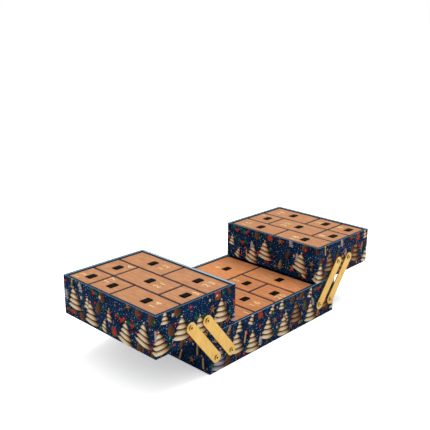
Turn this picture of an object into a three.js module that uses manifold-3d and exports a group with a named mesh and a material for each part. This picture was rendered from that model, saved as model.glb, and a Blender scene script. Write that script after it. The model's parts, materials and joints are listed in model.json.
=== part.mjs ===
// Advent calendar box: a base box and two upper trays that swing out on riveted arms.
//
// Millimetres, +Z up, +X along the base's long side, the front at -Y. The origin is the
// centre of the base's underside. The box is drawn open: both trays rest on the base's ends.

import * as THREE from 'three';
import { mergeVertices } from 'three/addons/utils/BufferGeometryUtils.js';
import loadManifold from 'manifold-3d';

const manifold = await loadManifold();
manifold.setup();

// Boxes
const trayWidth = 178;
const boxDepth = 236;
const trayHeight = 71.5;
const baseHeight = 74;
const traysApartWhenShut = 2;
const wallThickness = 5.5;
const floorThickness = 3;
const dividerThickness = 3;
const boxCornerRadius = 1.5;

// Compartments
const trayColumns = 3;
const trayRows = 4;
const baseColumns = 6;
const backCompartmentDepth = 87.5;

// Cartons and their ribbon loops
const cartonCornerRadius = 1;
const cartonBelowRim = 3;
const dividerBelowRim = 3.5;
const loopWidth = 16.5;
const loopLength = 13;
const loopFromMiddle = 4.5;
const loopHeight = 1.9;
const ribbonThickness = 0.45;
const ribbonGlueDepth = 0.1;
const slitDepth = 2.5;

// Arms and rivets
const armLength = 94.6;
const armWidth = 19.3;
const armThickness = 2;
const armEdgeBevel = 0.3;
const basePivotHeight = 28;
const trayPivotHeight = 28;
const outerPivotFromEnd = 14;
const armSpacing = 36.5;
const rivetShankRadius = 2;
const rivetHeadRadius = 4.8;
const rivetHeadHeight = 1.7;
const rivetFlangeRadius = 3.4;
const rivetFlangeThickness = 0.8;

// Clearances
const glueGap = 0.3;
const restGap = 0.3;
const cartonClearance = 0.8;
const armGap = 0.3;
const rivetClearance = 0.2;
const openPivotClearance = 0.4;
const ribbonClearance = 0.3;

// Facets of round forms
const rivetSides = 14;
const holeSides = 16;
const armArcSegments = 4;
const cornerSegments = 1;
const loopSegments = 3;
const domeSteps = 3;

// Sizes that follow from the ones above
const baseWidth = 2 * trayWidth + traysApartWhenShut;
const trayBottom = baseHeight + restGap;
const armRise = trayBottom + trayPivotHeight - basePivotHeight;
const armReach = Math.sqrt(armLength ** 2 - armRise ** 2);
const armLean = Math.atan2(armReach, armRise);
const shutTrayOffset = (trayWidth + traysApartWhenShut) / 2;
const openTrayOffset = shutTrayOffset + 2 * armReach;
const outerPivot = baseWidth / 2 - outerPivotFromEnd;
const innerPivot = outerPivot - armSpacing;
const armMiddle = boxDepth / 2 + armGap + armThickness / 2;
const rivetSeat = boxDepth / 2 + armGap + armThickness + armGap;
const rivetRecessDepth = rivetFlangeThickness + 2 * glueGap;

// Materials, one for each mesh
function printedBoard() {
  return new THREE.MeshStandardMaterial({ color: 0x14294a, roughness: 0.55, metalness: 0 });
}

function plainBoard() {
  return new THREE.MeshStandardMaterial({ color: 0x27303c, roughness: 0.8, metalness: 0 });
}

function kraftBoard() {
  return new THREE.MeshStandardMaterial({ color: 0xcf9468, roughness: 0.75, metalness: 0 });
}

function goldMetal() {
  return new THREE.MeshStandardMaterial({ color: 0xe6c46c, roughness: 0.35, metalness: 0.9 });
}

// Solids from closed geometries, and geometries from solids
function toSolid(geometry) {
  const bare = geometry.clone();
  bare.deleteAttribute('normal');
  bare.deleteAttribute('uv');
  const merged = mergeVertices(bare, 1e-5);
  return new manifold.Manifold(new manifold.Mesh({
    numProp: 3,
    vertProperties: new Float32Array(merged.attributes.position.array),
    triVerts: new Uint32Array(merged.index.array),
  }));
}

function toGeometry(solid) {
  const mesh = solid.getMesh();
  const geometry = new THREE.BufferGeometry();
  geometry.setAttribute('position', new THREE.BufferAttribute(mesh.vertProperties, 3));
  geometry.setIndex(new THREE.BufferAttribute(mesh.triVerts, 1));
  geometry.computeVertexNormals();
  return geometry;
}

// A rectangle on the XY plane: its two corners
function rectangle(x0, y0, x1, y1) {
  return { x0, y0, x1, y1 };
}

function grow(area, margin) {
  return rectangle(area.x0 - margin, area.y0 - margin, area.x1 + margin, area.y1 + margin);
}

function halfTurn(area) {
  return rectangle(-area.x1, -area.y1, -area.x0, -area.y0);
}

function roundedOutline(area, radius) {
  const { x0, y0, x1, y1 } = area;
  const outline = new THREE.Shape();
  outline.absarc(x1 - radius, y1 - radius, radius, 0, Math.PI / 2);
  outline.absarc(x0 + radius, y1 - radius, radius, Math.PI / 2, Math.PI);
  outline.absarc(x0 + radius, y0 + radius, radius, Math.PI, 1.5 * Math.PI);
  outline.absarc(x1 - radius, y0 + radius, radius, 1.5 * Math.PI, 2 * Math.PI);
  outline.closePath();
  return outline;
}

// An upright prism over an area, from one height to another
function prism(area, bottom, top, radius) {
  const outline = roundedOutline(area, radius);
  const settings = { depth: top - bottom, bevelEnabled: false, curveSegments: cornerSegments };
  return new THREE.ExtrudeGeometry(outline, settings).translate(0, 0, bottom);
}

function block(area, bottom, top) {
  const { x0, y0, x1, y1 } = area;
  const geometry = new THREE.BoxGeometry(x1 - x0, y1 - y0, top - bottom);
  return geometry.translate((x0 + x1) / 2, (y0 + y1) / 2, (bottom + top) / 2);
}

// Boards of a box: a frame of four walls, a floor inside it and a grid of dividers

function boxArea(width) {
  return rectangle(-width / 2, -boxDepth / 2, width / 2, boxDepth / 2);
}

// Through-holes for the rivets' shanks, with a recess for each flange on the inside
function rivetHoles(pivotXs, pivotHeight) {
  const recessMiddle = boxDepth / 2 - wallThickness + rivetRecessDepth / 2;
  const holes = [];
  for (const x of pivotXs) {
    for (const side of [-1, 1]) {
      const shankHole = new THREE.CylinderGeometry(
        rivetShankRadius + rivetClearance, rivetShankRadius + rivetClearance,
        3 * wallThickness, holeSides);
      const flangeRecess = new THREE.CylinderGeometry(
        rivetFlangeRadius + rivetClearance, rivetFlangeRadius + rivetClearance,
        rivetRecessDepth, holeSides);
      shankHole.translate(x, side * boxDepth / 2, pivotHeight);
      flangeRecess.translate(x, side * recessMiddle, pivotHeight);
      holes.push(toSolid(shankHole), toSolid(flangeRecess));
    }
  }
  return holes;
}

function wallFrame(width, height, pivotXs, pivotHeight) {
  const outside = toSolid(prism(boxArea(width), 0, height, boxCornerRadius));
  const inside = toSolid(block(grow(boxArea(width), -wallThickness), -height, 2 * height));
  let frame = outside.subtract(inside);
  for (const hole of rivetHoles(pivotXs, pivotHeight)) {
    frame = frame.subtract(hole);
  }
  return toGeometry(frame);
}

function floorBoard(width) {
  return block(grow(boxArea(width), -wallThickness - glueGap), 0, floorThickness);
}

function dividerGrid(width, height, compartments) {
  const bottom = floorThickness + glueGap;
  const top = height - dividerBelowRim;
  let grid = toSolid(block(grow(boxArea(width), -wallThickness - glueGap), bottom, top));
  for (const compartment of compartments) {
    grid = grid.subtract(toSolid(block(compartment, 0, height)));
  }
  return toGeometry(grid);
}

// Where a run of equal compartments starts and ends, measured from the middle of the box
function compartmentSpan(outsideLength, parts) {
  const insideLength = outsideLength - 2 * wallThickness;
  const clearLength = (insideLength - (parts - 1) * dividerThickness) / parts;
  return (first, count) => {
    const start = first * (clearLength + dividerThickness) - insideLength / 2;
    return [start, start + count * (clearLength + dividerThickness) - dividerThickness];
  };
}

// The left tray's eight compartments, column by column from the left, each from the front
function trayCompartments() {
  const column = compartmentSpan(trayWidth, trayColumns);
  const row = compartmentSpan(boxDepth, trayRows);
  const places = [
    { column: 0, row: 0, rows: 2 },
    { column: 0, row: 2, rows: 1 },
    { column: 0, row: 3, rows: 1 },
    { column: 1, row: 0, rows: 1 },
    { column: 1, row: 1, rows: 2 },
    { column: 1, row: 3, rows: 1 },
    { column: 2, row: 0, rows: 2 },
    { column: 2, row: 2, rows: 2 },
  ];
  return places.map((place) => {
    const [x0, x1] = column(place.column, 1);
    const [y0, y1] = row(place.row, place.rows);
    return rectangle(x0, y0, x1, y1);
  });
}

// The base's eight carton compartments lie between the open trays
function baseCompartments() {
  const column = compartmentSpan(baseWidth, baseColumns);
  const half = compartmentSpan(boxDepth, 2);
  const back = boxDepth / 2 - wallThickness;
  const front = -back;
  const backStart = back - backCompartmentDepth;
  const middleEnd = backStart - dividerThickness;
  const middleClear = (middleEnd - front - dividerThickness) / 2;
  const stretches = [
    { columns: column(1, 1), depth: half(0, 1) },
    { columns: column(1, 1), depth: half(1, 1) },
    { columns: column(2, 1), depth: half(0, 1) },
    { columns: column(2, 1), depth: half(1, 1) },
    { columns: column(3, 1), depth: [front, front + middleClear] },
    { columns: column(3, 1), depth: [middleEnd - middleClear, middleEnd] },
    { columns: column(4, 1), depth: [front, middleEnd] },
    { columns: column(3, 2), depth: [backStart, back] },
  ];
  return stretches.map(({ columns, depth }) => rectangle(columns[0], depth[0], columns[1], depth[1]));
}

// The base's two end bays lie under the open trays and hold nothing
function endBays() {
  const column = compartmentSpan(baseWidth, baseColumns);
  const back = boxDepth / 2 - wallThickness;
  return [0, baseColumns - 1].map((end) => {
    const [x0, x1] = column(end, 1);
    return rectangle(x0, -back, x1, back);
  });
}

// A carton's pull loop, drawn in Y and Z with the carton's top at height 0. Both plies of the
// ribbon come up through a slit, lie towards the front and meet in an open fold.
function loopOutline() {
  const ply = ribbonThickness;
  const slit = loopLength / 2;
  const rootBack = slit + 2 * ply;
  const rootBottom = -slitDepth - ribbonGlueDepth;
  const foldRadius = loopHeight / 2;
  const foldCentre = foldRadius - loopLength / 2;
  const restStart = slit - 2 * ribbonClearance;
  const outline = new THREE.Shape();
  outline.moveTo(slit, rootBottom);
  outline.lineTo(rootBack, rootBottom);
  outline.lineTo(rootBack, ply);
  outline.quadraticCurveTo(rootBack, 2 * ply, slit - ply, 2 * ply);
  outline.lineTo(foldCentre, loopHeight);
  outline.absarc(foldCentre, foldRadius, foldRadius, Math.PI / 2, 1.5 * Math.PI);
  outline.lineTo(foldCentre, -ribbonGlueDepth);
  outline.lineTo(restStart, -ribbonGlueDepth);
  outline.lineTo(restStart, 0);
  outline.lineTo(slit, 0);
  outline.closePath();
  const opening = new THREE.Path();
  opening.moveTo(slit - ply, ply);
  opening.lineTo(foldCentre, loopHeight - ply);
  opening.absarc(foldCentre, foldRadius, foldRadius - ply, Math.PI / 2, 1.5 * Math.PI);
  opening.closePath();
  outline.holes.push(opening);
  return outline;
}

function pullLoop() {
  const settings = { depth: loopWidth, bevelEnabled: false, curveSegments: loopSegments };
  const geometry = new THREE.ExtrudeGeometry(loopOutline(), settings);
  geometry.translate(0, 0, -loopWidth / 2);
  const acrossTheCarton = new THREE.Matrix4().makeBasis(
    new THREE.Vector3(0, 1, 0), new THREE.Vector3(0, 0, 1), new THREE.Vector3(1, 0, 0));
  return geometry.applyMatrix4(acrossTheCarton);
}

// A closed board carton, filled with what it holds, with a slit in its top and its pull loop,
// which lies a little nearer to the front. Its own origin is the middle of its underside.
function cartonGeometry(width, depth, height) {
  const area = rectangle(-width / 2, -depth / 2, width / 2, depth / 2);
  const body = toSolid(prism(area, 0, height, cartonCornerRadius));
  const slitStart = loopLength / 2 - ribbonClearance - loopFromMiddle;
  const slitEnd = loopLength / 2 + 2 * ribbonThickness + ribbonClearance - loopFromMiddle;
  const slitHalf = loopWidth / 2 + ribbonClearance;
  const slitArea = rectangle(-slitHalf, slitStart, slitHalf, slitEnd);
  const slit = toSolid(block(slitArea, height - slitDepth, height + slitDepth));
  const loop = toSolid(pullLoop().translate(0, -loopFromMiddle, height));
  return toGeometry(body.subtract(slit).add(loop));
}

// Arm: a flat strip with round ends and a hole at each end, upright, its lower pivot at the origin
function armGeometry(upperHoleClearance) {
  const end = armWidth / 2;
  const outline = new THREE.Shape();
  outline.absarc(0, armLength, end, 0, Math.PI);
  outline.absarc(0, 0, end, Math.PI, 2 * Math.PI);
  outline.closePath();
  const holes = [
    { height: 0, radius: rivetShankRadius + rivetClearance },
    { height: armLength, radius: rivetShankRadius + upperHoleClearance },
  ];
  for (const { height, radius } of holes) {
    const hole = new THREE.Path();
    hole.absarc(0, height, radius, 0, Math.PI);
    hole.absarc(0, height, radius, Math.PI, 2 * Math.PI);
    outline.holes.push(hole);
  }
  const geometry = new THREE.ExtrudeGeometry(outline, {
    depth: armThickness - 2 * armEdgeBevel,
    bevelThickness: armEdgeBevel,
    bevelSize: armEdgeBevel,
    bevelOffset: -armEdgeBevel,
    bevelSegments: 1,
    curveSegments: armArcSegments,
  });
  geometry.translate(0, 0, armEdgeBevel - armThickness / 2);
  return geometry.rotateX(Math.PI / 2);
}

// Rivet: a domed head outside, a shank through arm and wall, a flange in the wall's recess.
// It is revolved about Y, with the head's seat at Y 0 and the head towards +Y.
function rivetGeometry() {
  const shankEnd = rivetRecessDepth - glueGap - wallThickness + boxDepth / 2 - rivetSeat;
  const profile = [new THREE.Vector2(0, rivetHeadHeight)];
  for (let step = 1; step <= domeSteps; step += 1) {
    const angle = (Math.PI / 2) * (1 - step / domeSteps);
    const radius = rivetHeadRadius * Math.cos(angle);
    profile.push(new THREE.Vector2(radius, rivetHeadHeight * Math.sin(angle)));
  }
  profile.push(
    new THREE.Vector2(rivetShankRadius, 0),
    new THREE.Vector2(rivetShankRadius, shankEnd),
    new THREE.Vector2(rivetFlangeRadius, shankEnd),
    new THREE.Vector2(rivetFlangeRadius, shankEnd - rivetFlangeThickness),
    new THREE.Vector2(0, shankEnd - rivetFlangeThickness),
  );
  return new THREE.LatheGeometry(profile.reverse(), rivetSides);
}

function piece(name, geometry, material) {
  const mesh = new THREE.Mesh(geometry, material);
  mesh.name = name;
  return mesh;
}

// A box of boards with its divider grid and one carton in each compartment
function cartonBox(name, width, height, pivots, pivotHeight, compartments, emptyBays) {
  const box = new THREE.Group();
  box.add(piece(`${name}_walls`, wallFrame(width, height, pivots, pivotHeight), printedBoard()));
  box.add(piece(`${name}_floor`, floorBoard(width), plainBoard()));
  const grid = dividerGrid(width, height, [...compartments, ...emptyBays]);
  box.add(piece(`${name}_dividers`, grid, plainBoard()));
  const cartonBottom = floorThickness + restGap;
  const cartonHeight = height - cartonBelowRim - cartonBottom;
  compartments.forEach((compartment, index) => {
    const { x0, y0, x1, y1 } = grow(compartment, -cartonClearance);
    const geometry = cartonGeometry(x1 - x0, y1 - y0, cartonHeight);
    const carton = piece(`${name}_carton_${index + 1}`, geometry, kraftBoard());
    carton.position.set((x0 + x1) / 2, (y0 + y1) / 2, cartonBottom);
    box.add(carton);
  });
  return box;
}

// One side's four arms, and the rivets that hold them to the base and to the tray.
// side is -1 for the left tray and 1 for the right one; face is -1 at the front, 1 at the back.
function armSet(name, side) {
  const set = new THREE.Group();
  for (const [faceName, face] of [['front', -1], ['back', 1]]) {
    for (const [armName, pivot] of [['outer', outerPivot], ['inner', innerPivot]]) {
      const label = `${name}_${armName}_${faceName}`;
      const upperClearance = armName === 'inner' ? openPivotClearance : rivetClearance;
      const arm = piece(`${label}_arm`, armGeometry(upperClearance), goldMetal());
      arm.position.set(side * pivot, face * armMiddle, basePivotHeight);
      arm.rotation.y = side * armLean;
      set.add(arm);
      const ends = [
        ['base', side * pivot, basePivotHeight],
        ['tray', side * (pivot + armReach), basePivotHeight + armRise],
      ];
      for (const [endName, x, z] of ends) {
        const rivet = piece(`${label}_${endName}_rivet`, rivetGeometry(), goldMetal());
        rivet.position.set(x, face * rivetSeat, z);
        rivet.rotation.x = face < 0 ? Math.PI : 0;
        set.add(rivet);
      }
    }
  }
  return set;
}

// Pivots in the left tray, from the tray's own middle
function trayPivots() {
  return [outerPivot, innerPivot].map((pivot) => openTrayOffset - pivot - armReach);
}

const basePivots = [-outerPivot, -innerPivot, innerPivot, outerPivot];
const leftCompartments = trayCompartments();
const rightCompartments = leftCompartments.map(halfTurn);
const leftPivots = trayPivots();
const rightPivots = leftPivots.map((x) => -x);

const base = cartonBox(
  'base', baseWidth, baseHeight, basePivots, basePivotHeight, baseCompartments(), endBays());
const leftTray = cartonBox(
  'left_tray', trayWidth, trayHeight, leftPivots, trayPivotHeight, leftCompartments, []);
const rightTray = cartonBox(
  'right_tray', trayWidth, trayHeight, rightPivots, trayPivotHeight, rightCompartments, []);
leftTray.position.set(-openTrayOffset, 0, trayBottom);
rightTray.position.set(openTrayOffset, 0, trayBottom);

const calendar = new THREE.Group();
calendar.name = 'advent_calendar_box';
calendar.add(base, leftTray, rightTray, armSet('left', -1), armSet('right', 1));

export default calendar;
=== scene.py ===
"""Advent calendar box: printed boards, kraft cartons with ribbon loops and gold numbers, gold arms.

Metres, +Z up, the front at -Y, as in the loaded frame. The print is drawn in millimetres.
"""

import json
import math
import random

import bmesh
import bpy
from bpy.props import FloatProperty, FloatVectorProperty, IntProperty, PointerProperty
from mathutils import Matrix, Vector

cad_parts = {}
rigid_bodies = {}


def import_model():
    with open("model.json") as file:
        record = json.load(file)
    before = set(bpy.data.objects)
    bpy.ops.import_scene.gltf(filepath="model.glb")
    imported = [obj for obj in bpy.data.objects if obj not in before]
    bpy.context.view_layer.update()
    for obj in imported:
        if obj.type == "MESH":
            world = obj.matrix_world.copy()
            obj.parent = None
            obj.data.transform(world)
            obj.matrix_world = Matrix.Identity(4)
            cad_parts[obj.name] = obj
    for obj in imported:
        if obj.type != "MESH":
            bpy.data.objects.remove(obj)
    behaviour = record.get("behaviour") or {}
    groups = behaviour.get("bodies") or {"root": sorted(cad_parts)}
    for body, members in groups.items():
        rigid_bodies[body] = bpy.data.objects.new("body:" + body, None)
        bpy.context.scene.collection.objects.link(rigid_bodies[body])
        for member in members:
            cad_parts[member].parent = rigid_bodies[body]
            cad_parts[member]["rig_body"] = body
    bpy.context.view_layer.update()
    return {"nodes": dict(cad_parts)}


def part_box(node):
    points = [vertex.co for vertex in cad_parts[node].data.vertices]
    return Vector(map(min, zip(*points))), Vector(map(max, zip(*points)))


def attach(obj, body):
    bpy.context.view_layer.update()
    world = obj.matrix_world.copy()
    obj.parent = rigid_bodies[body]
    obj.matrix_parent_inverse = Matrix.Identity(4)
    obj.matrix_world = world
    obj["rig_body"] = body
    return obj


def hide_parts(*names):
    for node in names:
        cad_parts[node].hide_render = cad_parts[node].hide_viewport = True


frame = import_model()

bl_info = {
    "name": "Advent Calendar Box",
    "version": (1, 0, 0),
    "blender": (4, 5, 0),
    "location": "3D View > Sidebar > Calendar",
    "description": "Dresses the boards, cartons, ribbons, numbers and arms of an advent calendar box",
    "category": "Add Mesh",
}

MM = 0.001
BOXES = ("base", "left_tray", "right_tray")
CARTONS_PER_BOX = 8
SIDES = ("left", "right")
ARMS = ("outer", "inner")
FACES = ("front", "back")
PRINTED, LINED, RIM, RIM_EDGE = range(4)
PRINT_MAP = "print"
RIBBON_MAP = "ribbon"

# The number on each box's cartons, in the order of their names
NUMBERS = {
    "base": (1, 24, 16, 10, 20, 5, 11, 6),
    "left_tray": (14, 17, 13, 3, 21, 4, 23, 12),
    "right_tray": (19, 2, 9, 7, 22, 8, 15, 18),
}

# Where each number lies from the middle of its carton, in millimetres
NUMBER_PLACES = {
    "base": ((17, -45), (0, 26), (-3, -31), (0, 26), (-3, -22), (-2, 20), (-3, 18), (-5, 16)),
    "left_tray": ((0, -25), (12, 17), (-10, 14), (18, -11), (0, -30), (18, -16), (3, -28), (1, -32)),
    "right_tray": ((-1, 31), (0, 12), (5, 17), (14, 18), (-3, 27), (-11, 14), (-3, 32), (-6, 18)),
}


# Settings


def linear(code):
    """The linear colour of a hexadecimal screen colour."""
    channels = [int(code[start:start + 2], 16) / 255 for start in (0, 2, 4)]
    return tuple(c / 12.92 if c <= 0.04045 else ((c + 0.055) / 1.055) ** 2.4 for c in channels)


def sized(name, metres, description):
    """A setting in metres."""
    return FloatProperty(name=name, description=description, default=metres, unit="LENGTH")


def counted(name, value, description):
    """A setting that is a plain number."""
    return FloatProperty(name=name, description=description, default=value)


def coloured(name, code, description):
    """A setting that is a colour, from its screen code."""
    return FloatVectorProperty(
        name=name, description=description, default=linear(code), subtype="COLOR")


class BoardSettings(bpy.types.PropertyGroup):
    """Printed and plain boards."""

    edge_radius: sized("Edge radius", 0.0004, "Rounding of the boards' edges")
    rim_radius: sized("Rim radius", 0.0009, "Rounding of the paper over the rims")
    wall: sized("Wall", 0.0055, "Thickness of a box's walls")
    fir_width: counted("Fir width", 42, "Width of a large printed fir, in millimetres")
    fir_height: counted("Fir height", 42, "Height of a large printed fir, in millimetres")
    fir_tiers: counted("Fir tiers", 4.3, "Tiers of a large printed fir")
    fir_spacing: counted("Fir spacing", 43, "Distance between the large firs, in millimetres")
    print_step: sized("Print step", 1.3, "How much further along the print each box is cut")
    ground: coloured("Ground", "062749", "Navy ground of the print")
    lining: coloured("Lining", "0e2a40", "Plain navy paper of the dividers and floors")
    inside: coloured("Inside", "2f5271", "Paper inside the walls")
    rim: coloured("Rim", "17324a", "Navy paper over the rims")
    # Painted highlight: the rims' rounded edges are pale in place of light catching them
    rim_edge: coloured("Rim edge", "7f9cb0", "Rubbed paper at the rims' rounded edges")
    # Painted highlights: pale bands on the rims of the back and right walls, in place of light catching
    # them
    worn_rim: coloured("Worn rim", "7b95a8", "Rims of the back walls, rubbed pale")
    bare_rim: coloured("Bare rim", "a9c2d2", "Rims of the right walls, rubbed paler")


class CartonSettings(bpy.types.PropertyGroup):
    """Kraft cartons."""

    edge_radius: sized("Edge radius", 0.00045, "Rounding of a carton's folded edges")
    seam_inset: sized("Seam inset", 0.0007, "Board left outside the lid's seam")
    seam_width: sized("Seam width", 0.0003, "Gap round the lid")
    seam_depth: sized("Seam depth", 0.0008, "Depth of the gap round the lid")
    kraft: coloured("Kraft", "c98f66", "Board of the cartons")


class RibbonSettings(bpy.types.PropertyGroup):
    """Black ribbon loops."""

    width: sized("Width", 0.0165, "Width of the ribbon")
    length: sized("Length", 0.013, "Length of the loop")
    forward: sized("Forward", 0.0045, "How far the loop lies in front of its carton's middle")
    height: sized("Height", 0.0019, "Height of the loop above its carton")
    thickness: sized("Thickness", 0.0004, "Thickness of the ribbon")
    slit_depth: sized("Slit depth", 0.0025, "How far the slit goes down")
    slit_width: sized("Slit width", 0.0015, "Width of the slit in the carton")
    clearance: sized("Clearance", 0.0003, "Room beside the ribbon in its slit")
    colour: coloured("Colour", "090706", "Black of the ribbon")


class NumberSettings(bpy.types.PropertyGroup):
    """Gold numbers."""

    height: sized("Height", 0.0138, "Height of a digit")
    spacing: counted("Spacing", 1.45, "Spacing of the digits, as a share of the usual one")
    thickness: sized("Thickness", 0.00006, "Thickness of the foil")
    foil: coloured("Foil", "f8dc9a", "Gold foil of the numbers")


class ArmSettings(bpy.types.PropertyGroup):
    """Gold arms and rivets."""

    width: sized("Width", 0.0193, "Width of an arm")
    thickness: sized("Thickness", 0.002, "Thickness of an arm")
    edge_radius: sized("Edge radius", 0.0003, "Rounding of the arms' edges")
    hole_radius: sized("Hole radius", 0.0022, "Radius of the holes in an arm")
    segments: IntProperty(
        name="Segments", description="Segments of an arm's round end", default=28)
    gold: coloured("Gold", "f6cc7a", "Satin gold of the arms")
    mouth_radius: sized("Mouth radius", 0.0036, "Radius of a rivet's opening at its face")
    bore_radius: sized("Bore radius", 0.0019, "Radius of the hole down a rivet")
    bore_depth: sized("Bore depth", 0.0034, "How deep the hole down a rivet goes")


class StageSettings(bpy.types.PropertyGroup):
    """Floor, light and camera."""

    sky: counted("Sky", 0.62, "Strength of the light from all round")
    key: counted("Key", 1.35, "Strength of the lamp overhead")
    floor_width: sized("Floor width", 60, "Width of the floor")


# Nodes


def joining(operation, reflected=False):
    """A method that adds a Math node on a wire and the values that it meets."""

    def method(self, *others):
        values = (*others, self) if reflected else (self, *others)
        return self.maths(operation, *values)

    return method


class Wire:
    """A socket of a material's nodes. Sums on it add the nodes that work them out."""

    # The operators and functions that are Math nodes
    __add__ = __radd__ = joining("ADD")
    __sub__ = joining("SUBTRACT")
    __rsub__ = joining("SUBTRACT", reflected=True)
    __mul__ = __rmul__ = joining("MULTIPLY")
    __truediv__ = joining("DIVIDE")
    __rtruediv__ = joining("DIVIDE", reflected=True)
    __pow__ = joining("POWER")
    __lt__ = joining("LESS_THAN")
    __gt__ = joining("GREATER_THAN")
    __abs__ = joining("ABSOLUTE")
    floor = joining("FLOOR")
    fraction = joining("FRACT")
    sine = joining("SINE")
    root = joining("SQRT")
    most = joining("MAXIMUM")
    least = joining("MINIMUM")

    def __init__(self, tree, socket=None):
        self.tree = tree
        self.socket = socket

    @staticmethod
    def find(sockets, name):
        """A node's socket in use, by its name or number."""
        if isinstance(name, int):
            return sockets[name]
        return next(socket for socket in sockets if socket.name == name and socket.enabled)

    def node(self, kind, settings=None, sockets=None):
        """Add a node: its settings, then the values or links of its sockets."""
        node = self.tree.nodes.new("ShaderNode" + kind)
        for name, value in (settings or {}).items():
            if name == "stops":
                lay_stops(node.color_ramp, value)
            else:
                setattr(node, name, value)
        for name, value in (sockets or {}).items():
            socket = self.find(node.inputs, name)
            if isinstance(value, Wire):
                self.tree.links.new(value.socket, socket)
            else:
                socket.default_value = value
        outputs = [socket for socket in node.outputs if socket.enabled]
        return Wire(self.tree, outputs[0] if outputs else None)

    def __getitem__(self, name):
        """Another output of the same node."""
        return Wire(self.tree, self.find(self.socket.node.outputs, name))

    def maths(self, operation, *values, clamp=False):
        """A Math node on values or sockets."""
        return self.node("Math", {"operation": operation, "use_clamp": clamp}, dict(enumerate(values)))

    def clamped(self):
        """The value kept between 0 and 1."""
        return self.maths("ADD", self, 0, clamp=True)


def lay_stops(ramp, stops):
    """Set a colour ramp's stops from (position, colour) pairs."""
    while len(ramp.elements) > 1:
        ramp.elements.remove(ramp.elements[-1])
    ramp.elements[0].position, first = stops[0]
    ramp.elements[0].color = opaque(first)
    for position, shade in stops[1:]:
        ramp.elements.new(position).color = opaque(shade)


def opaque(shade):
    """A colour with its alpha, or a wire as it is."""
    return shade if isinstance(shade, Wire) else (*shade, 1)


def toned(colour, factor):
    """A colour made lighter or darker, worked out before it reaches the nodes."""
    return tuple(min(1, factor * channel) for channel in colour)


def mixed(factor, first, second):
    """Two colours mixed by a factor: 0 gives the first."""
    sockets = {"Factor": factor, "A": opaque(first), "B": opaque(second)}
    return factor.node("Mix", {"data_type": "RGBA"}, sockets)


def dimmed(shade, factor):
    """A colour made darker by a factor."""
    return factor.node("VectorMath", {"operation": "SCALE"}, {"Vector": shade, "Scale": factor})


def shades(value, stops):
    """A colour picked from a ramp by a value from 0 to 1."""
    return value.node("ValToRGB", {"stops": stops}, {"Fac": value})


def mapped(sheet, name):
    """The place in a piece's map, in millimetres."""
    split = sheet.node("SeparateXYZ", {}, {"Vector": sheet.node("UVMap", {"uv_map": name})})
    return split["X"] / MM, split["Y"] / MM


def grain(sheet, waves, detail=2, seed=0):
    """Noise from 0 to 1 in the piece's own frame. The waves are per metre, all ways or along X, Y, Z."""
    scale = waves if isinstance(waves, tuple) else (waves, waves, waves)
    place = sheet.node("TexCoord")["Object"]
    stretched = sheet.node("Mapping", {}, {"Vector": place, "Location": (seed, seed, seed), "Scale": scale})
    settings = {"noise_dimensions": "3D"}
    return sheet.node("TexNoise", settings, {"Vector": stretched, "Scale": 1, "Detail": detail})


def bumped(height, strength, distance):
    """A normal that follows a height from 0 to 1, over a distance in metres."""
    return height.node("Bump", {}, {"Strength": strength, "Distance": distance, "Height": height})


def cleared(owner):
    """The emptied nodes of a material or a world."""
    owner.use_nodes = True
    owner.node_tree.nodes.clear()
    return Wire(owner.node_tree)


def finished(name, look, *values):
    """A material whose shader takes the sockets that a look gives for some values."""
    material = bpy.data.materials.new(name)
    sheet = cleared(material)
    shader = sheet.node("BsdfPrincipled", {}, look(sheet, *values))
    sheet.node("OutputMaterial", {}, {"Surface": shader})
    return material


# The print, drawn in millimetres: x across and y up from a motif's own middle or foot


def stops(*pairs):
    """A ramp's stops from pairs of a position and a screen colour."""
    return [(position, linear(code)) for position, code in pairs]


PRINT_SOFTNESS = 0.5
WOOD = stops((0, "24150e"), (0.28, "684632"), (0.6, "ba966f"), (0.85, "e8cfa6"), (1, "f8e8c8"))
BARK = stops((0, "160d09"), (0.45, "553626"), (0.8, "8a6245"), (1, "b98f66"))
MAUVE = stops((0, "221f28"), (0.5, "6d6470"), (1, "b9afb6"))
BAUBLES = stops((0, "c81e28"), (0.26, "1d7350"), (0.4, "8b6042"), (0.52, "d9c49c"))


def within(distance, softness=PRINT_SOFTNESS):
    """1 where a distance is below zero and 0 beyond, with a soft edge."""
    return distance.maths("SUBTRACT", 0.5, distance / softness, clamp=True)


def far(x, y):
    """Distance from the middle."""
    return (x * x + y * y).root()


def tilted(x, y, lean):
    """A place turned a little about the origin."""
    return x + y * lean, y - x * lean


def cells(u, v, width, height, stagger, seed):
    """The place in a cell of a staggered grid, and three random numbers of the cell."""
    row = (v / height).floor()
    across = u / width + row * stagger
    column = across.floor()
    key = u.node("CombineXYZ", {}, {"X": column, "Y": row, "Z": seed})
    colour = u.node("TexWhiteNoise", {"noise_dimensions": "3D"}, {"Vector": key})["Color"]
    chances = u.node("SeparateColor", {}, {"Color": colour})
    x = (across - column - 0.5) * width
    y = (v / height - row - 0.5) * height
    return x, y, [chances["Red"], chances["Green"], chances["Blue"]]


def fir(x, y, height, spread, tiers):
    """A carved fir of flared tiers on a trunk: its mask and how light its wood is."""
    climb = (y + x * 0.12 - x * x * 0.011) / height
    tier = (climb * tiers).fraction()
    taper = (1 - climb).most(0) ** 0.78
    round_foot = (tier * 9).clamped() ** 0.5
    reach = spread * taper * (0.84 + 0.16 * round_foot) * (1 - 0.4 * tier)
    crown = within(abs(x) - reach) * (climb > 0) * (climb < 1)
    side = x / (reach + 0.1) + 0.3
    under = ((tier - 0.45) * 2.2).clamped()
    rings = (x * 0.5 + climb * 95 + (y * 0.4).sine()).sine()
    light = (0.97 - side * side * 0.48 + rings * 0.06) * (1 - 0.78 * under)
    trunk_half, trunk_foot, trunk_top, trunk_light = 2.4, -10, 2, 0.26
    trunk = within(abs(x) - trunk_half) * (y > trunk_foot) * (y < trunk_top)
    return crown.most(trunk), light * crown + trunk_light * (1 - crown)


# Each charm takes a place and a random number, and gives its layers: a mask and a colour each


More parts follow.
